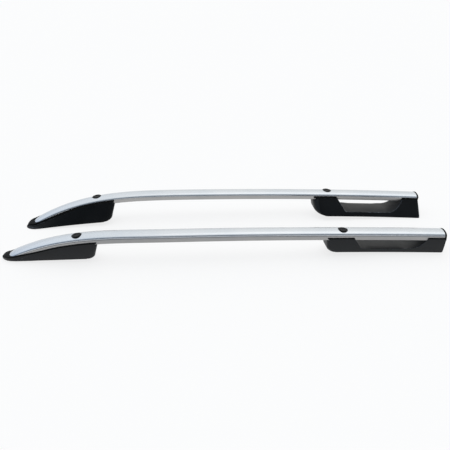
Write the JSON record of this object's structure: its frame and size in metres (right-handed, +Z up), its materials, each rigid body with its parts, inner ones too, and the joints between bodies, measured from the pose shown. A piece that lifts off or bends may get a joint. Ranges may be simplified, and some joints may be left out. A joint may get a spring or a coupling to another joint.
{
  "type": "roof side rail pair",
  "caption": "Pair of bowed aluminium roof side rails on black moulded feet, with flush round plugs and a window in each rear foot.",
  "frame": {"origin": "centre of the pair's footprint, on the surface that the feet stand on", "axes": "+X towards the rear ends of the rails, +Y towards the right rail, +Z up"},
  "size_m": [1.233, 0.3026, 0.0859],
  "materials": {
    "satin_aluminium": "satin anodised and lacquered, fine lengthwise grain",
    "moulded_black": "moulded, fine grain",
    "plug_black": "moulded, smooth",
    "cast_alloy": "die-cast alloy, as cast",
    "gasket_rubber": "matt",
    "zinc_steel": "zinc plated"
  },
  "bodies": {
    "root": {"left_rail": "satin_aluminium", "left_end_cap": "moulded_black", "left_front_foot": "moulded_black", "left_rear_foot": "moulded_black", "left_front_plug": "plug_black", "left_rear_plug": "plug_black", "left_front_bracket": "cast_alloy", "left_mid_bracket": "cast_alloy", "left_end_bracket": "cast_alloy", "left_front_gasket": "gasket_rubber", "left_rear_gasket": "gasket_rubber", "left_rail_bolts": "zinc_steel", "left_bolt_washers": "zinc_steel", "left_cover_screws": "zinc_steel", "right_rail": "satin_aluminium", "right_end_cap": "moulded_black", "right_front_foot": "moulded_black", "right_rear_foot": "moulded_black", "right_front_plug": "plug_black", "right_rear_plug": "plug_black", "right_front_bracket": "cast_alloy", "right_mid_bracket": "cast_alloy", "right_end_bracket": "cast_alloy", "right_front_gasket": "gasket_rubber", "right_rear_gasket": "gasket_rubber", "right_rail_bolts": "zinc_steel", "right_bolt_washers": "zinc_steel", "right_cover_screws": "zinc_steel"}
  },
  "joints": []
}
